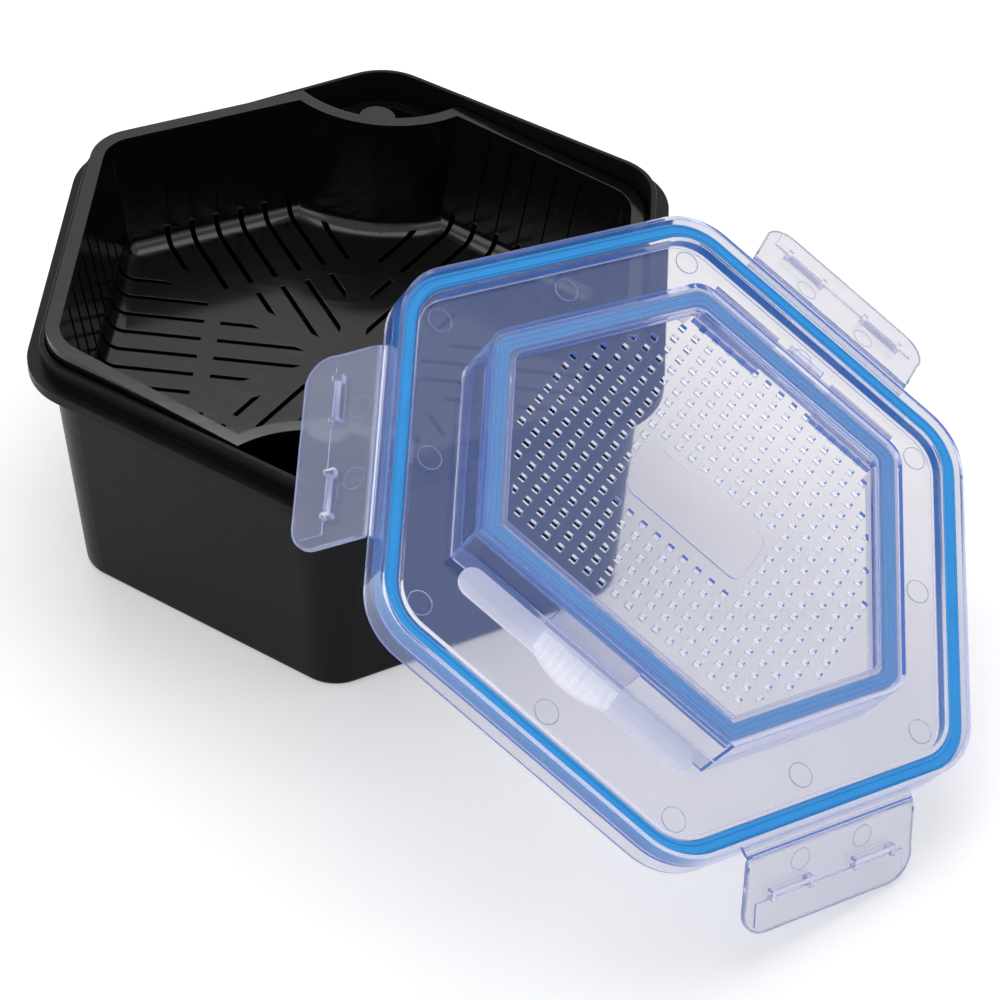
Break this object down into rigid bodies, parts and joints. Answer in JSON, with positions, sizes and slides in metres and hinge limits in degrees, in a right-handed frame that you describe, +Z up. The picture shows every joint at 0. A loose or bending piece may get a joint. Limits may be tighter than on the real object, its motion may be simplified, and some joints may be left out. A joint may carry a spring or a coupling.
{
  "type": "fishing bait box",
  "caption": "Hexagonal bait tub with a slotted riddle tray inside and a clear clip-on lid that has a seal, latches and a perforated hatch, leaning open on the rim",
  "frame": {"origin": "middle of the tub's flat base", "axes": "+Z up out of the tub, +X square to the flat side of the tub on which the lid leans, +Y towards the tub's rear corner"},
  "size_m": [0.3113, 0.3288, 0.1418],
  "materials": {
    "tub": "black polypropylene, satin outside and smoother inside",
    "tray": "glossy black polypropylene",
    "clear_moulding": "clear polypropylene with a faint milky lilac tint",
    "main_seal": "smooth blue elastomer",
    "hatch_seal": "smooth blue elastomer",
    "pin": "clear moulded rod"
  },
  "bodies": {
    "tub": {"tub": "tub"},
    "riddle_tray": {"riddle_tray": "tray"},
    "lid": {"lid": "clear_moulding", "main_seal": "main_seal"},
    "hatch": {"hatch": "clear_moulding", "hatch_screen": "clear_moulding", "hatch_seal": "hatch_seal", "hatch_hinge_pin": "pin"},
    "hatch_latch": {"hatch_latch": "clear_moulding"},
    "latch_left": {"latch_left": "clear_moulding"},
    "latch_rear": {"latch_rear": "clear_moulding"},
    "latch_front": {"latch_front": "clear_moulding"}
  },
  "joints": [
    {"name": "lid_lift", "type": "slide", "parent": "tub", "child": "lid", "axis": [0.5, -0.5, 0.7071], "range_m": [0, 0.2]},
    {"name": "latch_left_hinge", "type": "hinge", "parent": "lid", "child": "latch_left", "pos_m": [0.01715, -0.11707, 0.12424], "axis": [0.0114, -0.9526, -0.304], "range_deg": [-145.8, 0]},
    {"name": "latch_rear_hinge", "type": "hinge", "parent": "lid", "child": "latch_rear", "pos_m": [0.15928, -0.00799, 0.08831], "axis": [-0.7892, 0.3557, 0.5007], "range_deg": [-108.6, 0]},
    {"name": "latch_front_hinge", "type": "hinge", "parent": "lid", "child": "latch_front", "pos_m": [0.16136, -0.18205, 0.03275], "axis": [0.7778, 0.5969, -0.1966], "range_deg": [-136.4, 0]},
    {"name": "hatch_hinge", "type": "hinge", "parent": "lid", "child": "hatch", "pos_m": [0.14885, -0.02194, 0.08178], "axis": [0.7892, -0.3557, -0.5007], "range_deg": [0, 105.5]},
    {"name": "hatch_latch_hinge", "type": "hinge", "parent": "hatch", "child": "hatch_latch", "pos_m": [0.08161, -0.15059, 0.06718], "axis": [0.7892, -0.3557, -0.5007], "range_deg": [0, 100]},
    {"name": "tray_tip", "type": "hinge", "parent": "tub", "child": "riddle_tray", "pos_m": [0.09731, 0, 0.1043], "axis": [0, 1, 0], "range_deg": [-3.9, 6]}
  ],
  "couplings": [
    {"joint": "hatch_hinge", "follows": "lid_lift", "rad_per_m": 9.163}
  ]
}
